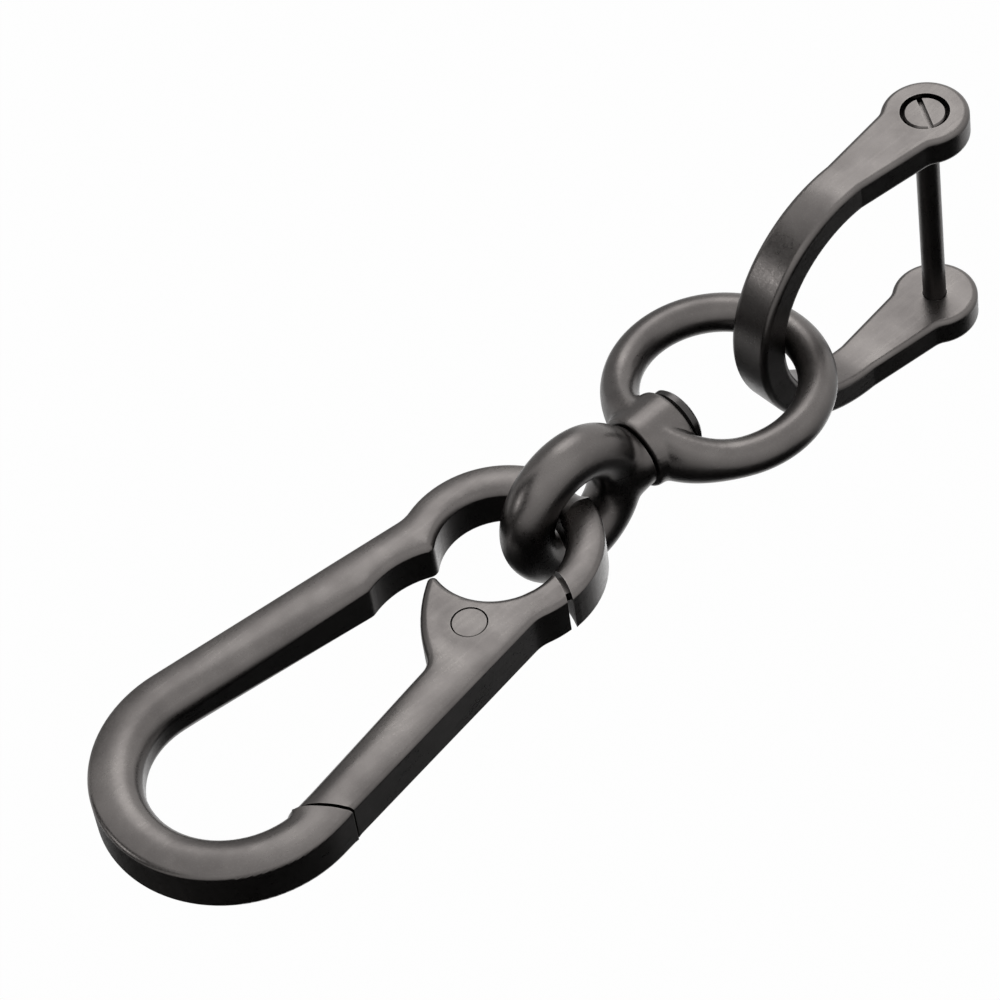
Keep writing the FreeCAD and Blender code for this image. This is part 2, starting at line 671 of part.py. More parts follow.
def make_swivel_eye():
    """Thick round loop through the small eye, flared to a shoulder that the collar turns on."""
    body = new_body("swivel_eye")
    add(
        body, "AdditiveTorus", "loop",
        Radius1="dims.loop_hole_radius + dims.loop_wire / 2", Radius2="dims.loop_wire / 2",
        Placement=TURN_TO_X,
    )
    add(
        body, "AdditiveCylinder", "shoulder",
        Radius="dims.neck_diameter / 2", Height="dims.neck_rim",
        Placement__Base__z="-dims.neck_height",
    )
    add(
        body, "AdditiveCone", "flare",
        Radius1="dims.neck_diameter / 2", Radius2="dims.loop_wire / 2 - dims.neck_rim / 2",
        Height="dims.neck_length - dims.neck_rim",
        Placement__Base__z="dims.neck_rim - dims.neck_height",
    )
    below = new_sketch(body, "stem_face", "XY_Plane", "-dims.neck_height")
    wide = size("loop_hole_radius") + size("loop_wire")
    draw(below, square(wide))
    add(body, "Pocket", "face_off", Profile=below, Length="dims.loop_wire")
    add(
        body, "SubtractiveCylinder", "rivet_socket",
        Radius="dims.rivet_shank_diameter / 2 + dims.rivet_seat_clearance",
        Height="dims.rivet_tail + dims.swivel_play",
        Placement__Base__z="-dims.neck_height",
    )
    hang(body, LOOP_Z)
    return body


def make_swivel_rivet():
    """Rivet with a stepped button head inside the ring, its shank through the collar."""
    body = new_body("swivel_rivet")
    shank = size("rivet_shank_diameter") / 2
    collar = size("collar_lip") + size("ring_bar") + size("collar_rise")
    length = size("rivet_tail") + collar + 2 * size("swivel_play")
    rim = size("rivet_head_diameter") / 2
    step = size("rivet_step")
    crown = size("rivet_head_height") - size("rivet_rim_height")
    corners = [
        point(0, length), point(shank, length), point(shank, 0), point(rim - step, 0), point(rim, -step),
        point(rim, -size("rivet_rim_height") + step), point(rim - step, -size("rivet_rim_height")),
    ]
    rings = 3
    for n in range(rings):
        out = rim - step - (rim - step) * (n + 1) / (rings + 1)
        deep = -size("rivet_rim_height") - crown * (n + 1) / rings
        corners += [point(out + step, deep + crown / rings * 0.2), point(out, deep)]
    corners.append(point(0, -size("rivet_head_height")))
    round_section(body, "rivet", polygon(corners))
    hang(body, COLLAR_Z + " - dims.collar_lip - dims.ring_bar - dims.collar_rise - dims.swivel_play")
    return body


def make_swivel_ring():
    """Round ring with a barrel collar that flows into the ring's bar and is cut flat at both ends."""
    body = new_body("swivel_ring")
    bar = {
        "Radius1": "dims.ring_inner_radius + dims.ring_bar / 2",
        "Radius2": "dims.ring_bar / 2",
        "Placement": TURN_TO_Y,
    }
    add(body, "AdditiveTorus", "ring", **bar)
    low = "dims.ring_inner_radius - dims.collar_rise"
    high = "dims.ring_inner_radius + dims.ring_bar + dims.collar_lip"
    barrel = add(
        body, "AdditiveCylinder", "barrel",
        Radius="dims.collar_diameter / 2",
        Height="dims.collar_lip + dims.ring_bar + dims.collar_rise + 2 * dims.ring_bar",
        Placement__Base__z=low + " - dims.ring_bar",
    )
    round_edges(
        body, barrel, "collar_blend",
        lambda edge: edge.Curve.TypeId == "Part::GeomBSplineCurve",
        "dims.collar_blend",
    )
    wide = size("collar_diameter")
    outer_end = new_sketch(body, "collar_outer_end", "XY_Plane", high)
    draw(outer_end, square(wide))
    add(body, "Pocket", "outer_face", Profile=outer_end, Length="2 * dims.ring_bar", Reversed=True)
    inner_end = new_sketch(body, "collar_inner_end", "XY_Plane", low)
    draw(inner_end, square(wide))
    add(body, "Pocket", "inner_face", Profile=inner_end, Length="2 * dims.ring_bar")
    add(body, "AdditiveTorus", "ring_again", **bar)
    add(
        body, "SubtractiveCylinder", "rivet_bore",
        Radius="dims.rivet_shank_diameter / 2 + dims.rivet_running_clearance",
        Height="dims.ring_bar + dims.collar_rise + dims.ring_inner_radius",
    )
    hang(body, RING_Z)
    return body


def shackle_sketch(body):
    """The horseshoe seen from the side: a half-round bow and two straight arms."""
    inner = size("shackle_inner_radius")
    outer = inner + size("shackle_thickness")
    end = -(size("arm_length") + size("boss_diameter") / 2)
    chain = [
        arc(point(0, 0), point(outer, 0), point(-outer, 0)),
        line(point(-outer, 0), point(-outer, end)),
        line(point(-outer, end), point(-inner, end)),
        line(point(-inner, end), point(-inner, 0)),
        arc(point(0, 0), point(inner, 0), point(-inner, 0)),
        line(point(inner, 0), point(inner, end)),
        line(point(inner, end), point(outer, end)),
        line(point(outer, end), point(outer, 0)),
    ]
    made = new_sketch(body, "horseshoe", "YZ_Plane")
    radii = [
        (0, "dims.shackle_inner_radius + dims.shackle_thickness"),
        (4, "dims.shackle_inner_radius"),
    ]
    draw(made, chain, radii)
    return made


def strap_sketch(body):
    """What is cut away beside the strap, seen from the front: it leaves the taper and the round bosses."""
    boss = size("boss_diameter") / 2
    axis = point(0, -size("arm_length"))
    top = size("shackle_inner_radius") + size("shackle_thickness") + PAST_EDGE
    bow = size("bow_width") / 2
    arm = size("arm_width") / 2
    meet = axis.y + math.sqrt(boss ** 2 - arm ** 2)
    frame = boss + PAST_EDGE
    low = axis.y - boss - PAST_EDGE
    around = polygon([point(-frame, low), point(frame, low), point(frame, top), point(-frame, top)])
    made = new_sketch(body, "strap_outline", "XZ_Plane")
    draw(made, around)
    inside = [
        arc(axis, point(-arm, meet), point(arm, meet)),
        line(point(arm, meet), point(bow, 0)),
        line(point(bow, 0), point(bow, top - 1)),
        line(point(bow, top - 1), point(-bow, top - 1)),
        line(point(-bow, top - 1), point(-bow, 0)),
        line(point(-bow, 0), point(-arm, meet)),
    ]
    draw(made, inside, [(0, "dims.boss_diameter / 2")])
    return made, point(arm, meet)


def make_shackle():
    """Horseshoe strap with a recess for the screw head in one boss and a hole through both."""
    body = new_body("shackle")
    slab = both_ways(body, "Pad", "shackle_slab", shackle_sketch(body), "dims.boss_diameter")
    outline, neck = strap_sketch(body)
    outer = "dims.shackle_inner_radius + dims.shackle_thickness"
    cut = both_ways(body, "Pocket", "strap_sides", outline, "2 * (" + outer + ") + dims.boss_diameter")
    necks = round_edges(body, cut, "boss_necks", stands_at([neck, mirrored(neck)]), "dims.boss_blend")
    axis = point(0, -size("arm_length"))
    round_edges(body, necks, "strap_edges", on_strap_edge, "dims.shackle_edge_round")
    hole = new_sketch(body, "screw_hole", "XZ_Plane")
    clear = size("screw_shank_diameter") / 2 + size("screw_clearance")
    draw_circle(hole, axis, "dims.screw_shank_diameter / 2 + dims.screw_clearance", clear)
    both_ways(body, "Pocket", "screw_way", hole, "2 * (" + outer + ") + dims.boss_diameter")
    recess = new_sketch(body, "head_recess", "XZ_Plane", outer)
    draw_circle(recess, axis, "dims.recess_diameter / 2", size("recess_diameter") / 2)
    add(
        body, "Pocket", "head_room", Profile=recess,
        Length="dims.screw_sink + dims.screw_head_height + dims.head_seat_gap",
    )
    hang(body, BOW_Z)
    return body


def on_strap_edge(edge):
    """Tests for the strap's long edges: those between a side of the strap and its inner or outer face."""
    inner = size("shackle_inner_radius")
    outer = inner + size("shackle_thickness")
    places = [v.Point for v in edge.Vertexes] + [middle(edge)]
    off_centre = [math.hypot(p.y, p.z) if p.z > 0 else abs(p.y) for p in places]
    on_outer = all(abs(off - outer) < 1e-3 for off in off_centre)
    on_inner = all(abs(off - inner) < 1e-3 for off in off_centre)
    across = abs(edge.BoundBox.XLength) > 1 and edge.BoundBox.ZLength < 1e-3
    return (on_outer or on_inner) and not across


def make_shackle_screw():
    """Slotted cheese-head screw; its thread is a row of grooves at the tip."""
    body = new_body("shackle_screw")
    outer = size("shackle_inner_radius") + size("shackle_thickness")
    head = size("screw_head_diameter") / 2
    shank = size("screw_shank_diameter") / 2
    top = outer - size("screw_sink")
    under = top - size("screw_head_height")
    tip = -outer + size("screw_sink")
    pitch = size("thread_pitch")
    depth = size("thread_depth")
    corners = [
        point(0, top), point(head - depth, top), point(head, top - depth),
        point(head, under), point(shank, under),
    ]
    for n in range(int(size("thread_grooves")), 0, -1):
        groove = tip + n * pitch
        corners += [point(shank, groove + pitch / 2), point(shank - depth, groove)]
    corners += [point(shank, tip + pitch / 2), point(shank - depth, tip), point(0, tip)]
    round_section(body, "screw_blank", polygon(corners))
    face = "dims.shackle_inner_radius + dims.shackle_thickness - dims.screw_sink"
    slot = new_sketch(body, "driver_slot", "XY_Plane", face)
    draw(slot, strip(point(-head - 1, 0), point(1, 0), 2 * head + 2, size("slot_width") / 2))
    add(body, "Pocket", "slot", Profile=slot, Length="dims.slot_depth")
    lie = FreeCAD.Rotation(FreeCAD.Vector(1, 0, 0), 90)
    turned = FreeCAD.Rotation(FreeCAD.Vector(0, 1, 0), 30)
    body.Placement = FreeCAD.Placement(FreeCAD.Vector(0, 0, 0), turned * lie)
    hang(body, BOW_Z + " - dims.arm_length")
    return body


def write(parts):
    """Checks every object and each part's solid, then writes the files."""
    doc.recompute()
    for thing in doc.Objects:
        if "Invalid" in thing.State or "Error" in thing.State:
            raise ValueError("failed: " + thing.Label)
    os.makedirs("parts", exist_ok=True)
    print("gate pivot at x %.4f, z %.4f" % (PIN.x, PIN.y))
    for part in parts:
        shape = part.Shape
        if shape.isNull() or not shape.isValid() or len(shape.Solids) != 1:
            raise ValueError("bad solid: " + part.Label)
    for part in parts:
        part.Shape.exportStep("parts/%s.step" % part.Label)
        box = part.Shape.BoundBox
        reach = (part.Label, part.Shape.Volume, box.ZMin, box.ZMax)
        print("%-16s volume %8.1f mm3, z %7.2f to %7.2f" % reach)


write([
    make_clip_body(),
    make_gate(),
    make_gate_pivot_pin(),
    make_gate_spring(),
    make_swivel_eye(),
    make_swivel_rivet(),
    make_swivel_ring(),
    make_shackle(),
    make_shackle_screw(),
])
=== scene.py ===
import json
import math

import bpy
from mathutils import Matrix, Vector
from mathutils.bvhtree import BVHTree
from mathutils.kdtree import KDTree

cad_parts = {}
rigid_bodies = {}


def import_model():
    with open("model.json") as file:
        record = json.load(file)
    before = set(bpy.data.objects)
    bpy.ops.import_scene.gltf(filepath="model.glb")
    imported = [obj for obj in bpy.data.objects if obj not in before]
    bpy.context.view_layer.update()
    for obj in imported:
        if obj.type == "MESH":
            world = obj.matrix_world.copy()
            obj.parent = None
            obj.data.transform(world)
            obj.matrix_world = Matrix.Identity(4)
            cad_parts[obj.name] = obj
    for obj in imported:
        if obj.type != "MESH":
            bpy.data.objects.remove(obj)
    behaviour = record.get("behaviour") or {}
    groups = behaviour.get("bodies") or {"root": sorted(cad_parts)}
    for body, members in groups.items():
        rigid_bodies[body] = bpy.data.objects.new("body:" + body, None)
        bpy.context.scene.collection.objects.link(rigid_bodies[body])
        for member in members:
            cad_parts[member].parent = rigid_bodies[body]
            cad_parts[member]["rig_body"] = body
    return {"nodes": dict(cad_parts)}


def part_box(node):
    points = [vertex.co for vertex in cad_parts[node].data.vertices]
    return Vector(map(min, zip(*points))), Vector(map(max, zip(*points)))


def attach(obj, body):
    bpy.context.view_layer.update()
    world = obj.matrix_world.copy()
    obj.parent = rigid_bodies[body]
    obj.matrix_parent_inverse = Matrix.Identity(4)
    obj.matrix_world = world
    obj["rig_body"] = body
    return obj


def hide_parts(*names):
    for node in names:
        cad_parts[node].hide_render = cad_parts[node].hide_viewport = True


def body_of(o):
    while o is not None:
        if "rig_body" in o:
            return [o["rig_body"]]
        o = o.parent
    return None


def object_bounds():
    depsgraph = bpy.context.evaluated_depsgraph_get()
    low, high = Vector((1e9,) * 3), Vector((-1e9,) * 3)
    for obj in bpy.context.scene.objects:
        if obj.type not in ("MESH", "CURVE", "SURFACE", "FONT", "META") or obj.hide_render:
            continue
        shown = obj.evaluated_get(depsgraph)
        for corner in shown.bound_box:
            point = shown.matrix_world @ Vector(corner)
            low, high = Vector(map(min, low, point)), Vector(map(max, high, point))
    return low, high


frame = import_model()
CAD_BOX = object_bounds()

bl_info = {
    "name": "Belt key clip",
    "version": (1, 0, 0),
    "blender": (4, 5, 0),
    "location": "View3D > Sidebar > Key clip",
    "description": "Dresses the belt key clip as satin gun-metal castings in a plain studio",
    "category": "Object",
}

MM = 0.001
X = Vector((1, 0, 0))
Y = Vector((0, 1, 0))
Z = Vector((0, 0, 1))
WHITE = (1.0, 1.0, 1.0, 1.0)

# A face is an upright wall if its normal has less than this along Y.
UPRIGHT = 0.05
# Faces that meet at more than this are shaded apart.
SHARP_ANGLE = math.radians(38.0)
# A solid's corners nearer than this are one, and its faces within this angle are one flat.
SAME_CORNER = 2e-6
SAME_FLAT = math.radians(0.4)

# Walls nearer to the gate's pin than this are its hole.
PIN_CLEAR = 2.3 * MM
# Walls nearer to the pear outline than this are the outer rim.
ON_OUTLINE = 0.4 * MM
# The small eye is round up to this above its centre, and the hook down to this below its own.
EYE_ROUND_TO = 3.9 * MM
HOOK_ROUND_TO = 1.8 * MM
# Height off the middle plane from which the hook's inner edge is rounded.
HOOK_EDGE_FROM = 0.6 * MM

# Corners round a bar, round a ring, round a ring's own bar, and on a ball.
BAR_CORNERS = 96
RING_CORNERS = 160
WIRE_CORNERS = 56
BALL_CORNERS = (64, 32)

# How often a joint is smoothed until it flows, and a casting until its edges are eased.
FLOW_TIMES = 40
EASE_TIMES = 4
SMOOTH_SHARE = 0.5
# Foot of the swivel eye: what stands below and above its seat before it is trimmed.
FOOT_BELOW = 2 * MM
FOOT_ABOVE = 1.0 * MM
# Fat joint between the swivel eye's loop and its foot.
JOINT_SIZE = (3.4 * MM, 4.4 * MM, 2.5 * MM)
JOINT_RISE = 1.2 * MM
# Middle and reach of the smoothing there, and reach of that at the collar.
FOOT_FLOW_RISE = 1.5 * MM
FOOT_FLOW_REACH = 3.6 * MM
COLLAR_FLOW_REACH = 4.8 * MM
# Bars that trim the castings: past an outer end, past the collar's end inside the ring, and for holes.
TRIM_RADIUS = 9 * MM
TRIM_DEPTH = 4 * MM
INNER_TRIM_RADIUS = 4.5 * MM
INNER_TRIM_DEPTH = 3 * MM
HOLE_SPARE = 1 * MM
SOCKET_DEPTH = 3.65 * MM
# Share of the collar's radius that the ring's bar swells to.
SWELL_SHARE = 0.92

# Finishes: how far rubbed edges go to bare metal, as wear and as a painted highlight, and what the rubbed
# lines give to gloss and to relief.
EDGE_SHARE = 0.45
RUBBED_GLOSS = 0.05
RUBBED_RELIEF = 0.3
RELIEF_STRENGTH = 0.5
# Lines rubbed along Z: fine across, long with it.
RUBBED_SCALE = (2600.0, 2600.0, 160.0)

# Middle of the hook on the clip's front face, which the camera's aim is measured from.
HOOK_FACE = Vector((0, -2.75, -8.65)) * MM
SENSOR_WIDTH = 36.0
NEAREST_SEEN = 0.01
FLOOR_SIZE = 8.0
# Plain white in what camera and gloss see of the floor. The rest keeps the shadow.
FLOOR_WHITE = 0.97
# Light of the surroundings on the object. What camera and gloss see of them is white.
WORLD_LIGHT = 0.7
# Name, way from the clip, metres off, width, height and brightness.
LAMPS = (
    ("front_lamp", (0.48, -0.74, -0.52), 0.6, 0.36, 0.36, 1.6),
    ("top_lamp", (0.5, -0.35, 0.8), 0.6, 0.1, 0.16, 7.0),
    ("back_lamp", (0.15, 1.0, -0.35), 0.42, 0.36, 0.36, 1.0),
)
# Name, way from the clip, metres off, width and shade.
FLAGS = (
    ("back_flag", (-0.35, 1.0, 0.0), 0.5, 1.7, 0.02),
    ("right_flag", (0.9, -0.15, -0.35), 0.6, 0.85, 0.4),
    ("top_flag", (0.5, -0.35, 0.8), 0.66, 0.8, 0.04),
)


def length(name, text, value):
    """A length in the panel, written here in millimetres."""
    return bpy.props.FloatProperty(
        name=name, description=text, default=value * MM, unit="LENGTH", precision=5,
    )


def angle(name, text, degrees):
    """An angle in the panel, written here in degrees."""
    return bpy.props.FloatProperty(
        name=name, description=text, default=math.radians(degrees), subtype="ANGLE",
    )


def colour(name, text, red, green, blue):
    """A colour in the panel, in linear shares."""
    return bpy.props.FloatVectorProperty(
        name=name, description=text, default=(red, green, blue), size=3, subtype="COLOR",
        min=0.0, max=1.0,
    )


class CastingSizes(bpy.types.PropertyGroup):
    """Soft forms of the castings."""

    rim_sag: length("Rim sag", "Faces of clip and gate, lower at the outer rim", 0.4)
    rim_width: length("Rim width", "Outer rim to where a face is flat", 2.6)
    inside_sag: length("Inside sag", "Faces of clip and gate, lower at the inner edge", 1.9)
    inside_width: length("Inside width", "Inner edge to where a face is flat", 2.7)
    eye_sag: length("Eye sag", "Faces of the small eye, lower at the inner edge", 0.7)
    hub_sag: length("Hub sag", "Faces round the gate's pin, lower at their edges", 0.12)
    deep_from: length("Deep from", "Pin up to where the inner edge starts to deepen", 4.0)
    ease: length("Ease", "Height over which the inner edge deepens towards the hook", 20.0)
    slice_step: length("Slice step", "Distance between the cuts that carry the crown", 0.6)
    wall_low: length("Wall from", "Height off the middle plane at which all walls run through", 1.84)
    seam_reach: length("Seam reach", "Clip and gate walls this near each other are a seam", 0.85)
    hook_radius: length("Hook radius", "Outside of the hook", 13.9)
    hook_drop: length("Hook drop", "Origin down to the hook's centre", 8.65)
    eye_radius: length("Eye radius", "Outside of the small eye", 10.5)
    eye_drop: length("Eye drop", "Origin down to the small eye's centre", 44.65)
    side_lean: angle("Side lean", "Straight sides against the clip's axis", 7.57)
    grid_fine: length("Casting grid", "Mesh size of the blended castings", 0.17)
    loop_radius: length("Loop radius", "Swivel eye, middle of its round bar", 6.15)
    loop_wire: length("Loop wire", "Swivel eye, half its round bar", 2.8)
    shoulder_radius: length("Shoulder radius", "Swivel eye, foot that the collar turns on", 3.6)
    shoulder_drop: length("Shoulder drop", "Swivel eye's centre down to its foot", 8.45)
    socket_radius: length("Socket radius", "Rivet hole in the swivel eye", 1.62)
    ring_radius: length("Ring radius", "Ring, middle of its round bar", 10.15)
    ring_bar: length("Ring bar", "Ring, half its round bar", 2.05)
    collar_radius: length("Collar radius", "Barrel collar", 4.2)
    collar_low: length("Collar low", "Ring centre up to the collar's inner end", 7.0)
    collar_high: length("Collar high", "Ring centre up to the collar's outer end", 12.27)
    bore_radius: length("Bore radius", "Rivet hole in the collar", 1.66)
    flare: angle("Flare", "Turn about the ring's centre over which its bar swells into the collar", 62.0)


class FinishColours(bpy.types.PropertyGroup):
    """Colours of the finishes."""

    casting: colour("Casting", "Satin gun-metal", 0.185, 0.172, 0.165)
    casting_deep: colour("Casting, deep", "Gun-metal where it is darkest", 0.130, 0.120, 0.116)
    black_nickel: colour("Black nickel", "Rivet", 0.105, 0.099, 0.097)
    black_nickel_deep: colour("Black nickel, deep", "Same, where it is darkest", 0.072, 0.069, 0.068)
    spring_steel: colour("Spring steel", "Gate spring", 0.42, 0.41, 0.40)
    # Lighter metal for the grain specks and for the edges, where it is wear and also a painted highlight.
    bare_edge_and_glint: colour("Bare edge", "Metal where edges are rubbed", 0.34, 0.322, 0.31)


class StageSettings(bpy.types.PropertyGroup):
    """Camera and studio."""

    camera_lift: angle("Camera lift", "Camera off the line that looks square at the clip's face", 49.2)
    camera_roll: angle("Camera roll", "Camera turned about its own line of sight", 9.7)
    chain_turn: angle("Chain turn", "Chain turned from the picture's width, in the clip's plane", 36.0)
    camera_distance: length("Camera distance", "Camera to the middle of the picture", 450.0)
    aim_across: length("Aim across", "Hook to the middle of the picture, along the picture's width", 29.9)
    aim_away: length("Aim away", "Hook to the middle of the picture, away from the camera", 26.5)
    lens: bpy.props.FloatProperty(
        name="Lens", description="Focal length on a 36 mm sensor, in millimetres", default=162.0,
    )
    floor_drop: length("Floor drop", "Floor below the lowest point of the hanging clip", 350.0)
    floor_colour: colour("Floor colour", "Plain pale floor", 0.9, 0.9, 0.9)


def deselect():
    if bpy.context.object and bpy.context.object.mode != "OBJECT":
        bpy.ops.object.mode_set(mode="OBJECT")
    bpy.ops.object.select_all(action="DESELECT")


def pick(piece):
    """Selects the piece alone."""
    deselect()
    piece.select_set(True)
    bpy.context.view_layer.objects.active = piece


def edit_all(piece):
    """Opens the piece in edit mode with all of it selected."""
    pick(piece)
    bpy.ops.object.mode_set(mode="EDIT")
    bpy.ops.mesh.select_mode(type="VERT")
    bpy.ops.mesh.select_all(action="SELECT")


def leave_edit():
    bpy.ops.object.mode_set(mode="OBJECT")


def settle(piece):
    """Places the piece in its mesh, so that its object sits unturned at the origin."""
    pick(piece)
    bpy.ops.object.transform_apply(location=True, rotation=True, scale=True)


def apply_modifier(piece, kind, **settings):
    pick(piece)
    made = piece.modifiers.new(kind.lower(), kind)
    for name, value in settings.items():
        setattr(made, name, value)
    bpy.ops.object.modifier_apply(modifier=made.name)


def join_in(piece, tool, operation):
    """Adds the tool to the piece or takes it away, and uses the tool up."""
    apply_modifier(piece, "BOOLEAN", object=tool, operation=operation, solver="EXACT")
    bpy.data.objects.remove(tool, do_unlink=True)


def cylinder(radius, low, high):
    """A round bar along Z from low to high."""
    deselect()
    bpy.ops.mesh.primitive_cylinder_add(
        vertices=BAR_CORNERS, radius=radius, depth=high - low, location=(0, 0, (low + high) / 2),
    )
    made = bpy.context.object
    settle(made)
    return made


def torus(radius, wire, height, turn):
    """A ring of round bar with its centre at height on Z."""
    deselect()
    bpy.ops.mesh.primitive_torus_add(
        major_radius=radius, minor_radius=wire, major_segments=RING_CORNERS, minor_segments=WIRE_CORNERS,
        location=(0, 0, height), rotation=turn,
    )
    made = bpy.context.object
    settle(made)
    return made


def egg(size, height):
    """A ball stretched to size, which fattens a joint before it is smoothed."""
    deselect()
    around, along = BALL_CORNERS
    bpy.ops.mesh.primitive_uv_sphere_add(
        segments=around, ring_count=along, radius=1.0, location=(0, 0, height),
    )
    bpy.ops.transform.resize(value=size)
    made = bpy.context.object
    settle(made)
    return made


def merged_copy(node, name):
    """A copy of a solid's mesh, its loose triangles merged and its flats made whole."""
    made = bpy.data.objects.new(name, frame["nodes"][node].data.copy())
    bpy.context.scene.collection.objects.link(made)
    made.data.materials.clear()
    pick(made)
    bpy.ops.mesh.customdata_custom_splitnormals_clear()
    edit_all(made)
    bpy.ops.mesh.remove_doubles(threshold=SAME_CORNER)
    bpy.ops.mesh.dissolve_limited(angle_limit=SAME_FLAT)
    leave_edit()
    return made


def hand_over(piece, name, node, finish):
    """Names the finished piece, gives it its finish and puts it in its solid's place."""
    piece.name = name
    piece.data.name = name
    pick(piece)
    bpy.ops.object.shade_smooth_by_angle(angle=SHARP_ANGLE)
    piece.data.materials.clear()
    piece.data.materials.append(bpy.data.materials[finish])
    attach(piece, body_of(frame["nodes"][node])[0])
    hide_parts(node)


def box_of(piece):
    """Lowest and highest corner of a piece that sits at the origin."""
    corners = [vertex.co for vertex in piece.data.vertices]
    low = Vector([min(corner[axis] for corner in corners) for axis in range(3)])
    high = Vector([max(corner[axis] for corner in corners) for axis in range(3)])
    return low, high


def slice_through(piece, step):
    """Cuts the piece by planes across X and Z, so that its faces can be crowned."""
    low, high = box_of(piece)
    edit_all(piece)
    for normal, start, end in ((X, low.x, high.x), (Z, low.z, high.z)):
        count = int((end - start) / step)
        for n in range(1, count + 1):
            bpy.ops.mesh.select_all(action="SELECT")
            place = normal * (start + (end - start) * n / (count + 1))
            bpy.ops.mesh.bisect(plane_co=place, plane_no=normal)
    leave_edit()


def tree_of(points):
    """Search tree that finds the nearest of the points."""
    tree = KDTree(len(points))
    for index, place in enumerate(points):
        tree.insert(place, index)
    tree.balance()
    return tree


def flat(place):
    """The place brought onto the clip's middle plane."""
    return Vector((place.x, 0, place.z))


def off_outline(place, sizes):
    """How far a place of the clip's plane is from the clip's pear outline."""
    side = Vector((abs(place.x), 0, place.z))
    from_hook = side + Z * sizes.hook_drop
    from_eye = side + Z * sizes.eye_drop
    outward = X * math.cos(sizes.side_lean) - Z * math.sin(sizes.side_lean)
    if from_eye.z < EYE_ROUND_TO:
        return abs(from_eye.length - sizes.eye_radius)
    if from_hook.z < -HOOK_ROUND_TO:
        return abs(from_hook.dot(outward) - sizes.hook_radius)
    return abs(from_hook.length - sizes.hook_radius)


def walls_of(piece, other, sizes, pin):
    """Walls of the outer rim and walls inside the clip, without the seams and the pin's hole."""
    high_up = [vertex.co for vertex in other.data.vertices if abs(vertex.co.y) > sizes.wall_low]
    seam = tree_of([flat(place) for place in high_up])
    rim = []
    inside = []
    for wall in piece.data.polygons:
        place = flat(wall.center)
        if abs(wall.normal.y) > UPRIGHT or (place - pin).length < PIN_CLEAR:
            continue
        if seam.find(place)[2] < sizes.seam_reach:
            continue
        if off_outline(place, sizes) < ON_OUTLINE:
            rim.append(wall.vertices[:])
        else:
            inside.append(wall.vertices[:])
    corners = [vertex.co.copy() for vertex in piece.data.vertices]
    return BVHTree.FromPolygons(corners, rim), BVHTree.FromPolygons(corners, inside)


def crown(piece, walls, sizes, start, shallow):
    """Domes both faces: gently to the outer rim, deep to the inner edge, and shallow there below start."""
    rim, inside = walls
    top = max(abs(vertex.co.y) for vertex in piece.data.vertices)
    for vertex in piece.data.vertices:
        height = abs(vertex.co.y)
        deep = min(max((vertex.co.z - start) / sizes.ease, 0.0), 1.0)
        base = sizes.wall_low + (HOOK_EDGE_FROM - sizes.wall_low) * deep
        if height <= base:
            continue
        level = flat(vertex.co) + Y * sizes.wall_low
        out = max(1.0 - rim.find_nearest(level)[3] / sizes.rim_width, 0.0)
        into = max(1.0 - inside.find_nearest(level)[3] / sizes.inside_width, 0.0)
        depth = shallow + (sizes.inside_sag - shallow) * deep
        sag = sizes.rim_sag * out ** 2 + depth * (1.0 - math.sqrt(1.0 - into ** 2))
        vertex.co.y = math.copysign(height - sag * (height - base) / (top - base), vertex.co.y)
    piece.data.update()


def part_walls(piece):
    """Keeps the shading of the upright walls apart from that of the rounded edges above them."""
    sides = {}
    for face in piece.data.polygons:
        if abs(face.normal.y) < UPRIGHT:
            for key in face.edge_keys:
                sides[key] = sides.get(key, 0) + 1
    for edge in piece.data.edges:
        if sides.get(edge.key) == 1:
            edge.use_edge_sharp = True


def soften(piece, step, height, reach):
    """Remeshes a casting evenly, flows its joint near height together and eases its edges."""
    apply_modifier(piece, "REMESH", mode="VOXEL", voxel_size=step)
    joint = piece.vertex_groups.new(name="joint")
    for vertex in piece.data.vertices:
        away = abs(vertex.co.z - height) / reach
        if away < 1.0:
            joint.add([vertex.index], 1.0 - away ** 2, "REPLACE")
    apply_modifier(piece, "SMOOTH", factor=SMOOTH_SHARE, iterations=FLOW_TIMES, vertex_group="joint")
    apply_modifier(piece, "SMOOTH", factor=SMOOTH_SHARE, iterations=EASE_TIMES)
    piece.vertex_groups.clear()


def swell(ring, centre, sizes):
    """Thickens the ring's bar towards the collar, across the ring's plane."""
    thickest = SWELL_SHARE * sizes.collar_radius / sizes.ring_bar
    for vertex in ring.data.vertices:
        turn = abs(math.atan2(vertex.co.x, vertex.co.z - centre))
        share = max(1.0 - turn / sizes.flare, 0.0)
        share = share * share * (3.0 - 2.0 * share)
        vertex.co.y *= 1.0 + (thickest - 1.0) * share
    ring.data.update()


class KEYCLIP_OT_clip_and_gate(bpy.types.Operator):
    """Clip body and gate with domed faces"""

    bl_idname = "keyclip.clip_and_gate"
    bl_label = "Clip body and gate"

    def execute(self, context):
        sizes = context.scene.keyclip_sizes
        clip = merged_copy("clip_body", "clip_casting")
        gate = merged_copy("gate", "gate_casting")
        slice_through(clip, sizes.slice_step)
        slice_through(gate, sizes.slice_step)
        low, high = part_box("gate_pivot_pin")
        pin = flat((low + high) / 2)
        clip_walls = walls_of(clip, gate, sizes, pin)
        gate_walls = walls_of(gate, clip, sizes, pin)
        start = pin.z + sizes.deep_from
        crown(clip, clip_walls, sizes, start, sizes.eye_sag)
        crown(gate, gate_walls, sizes, start, sizes.hub_sag)
        hand_over(clip, "clip_casting", "clip_body", "satin_casting")
        hand_over(gate, "gate_casting", "gate", "satin_casting")
        part_walls(clip)
        part_walls(gate)
        return {"FINISHED"}


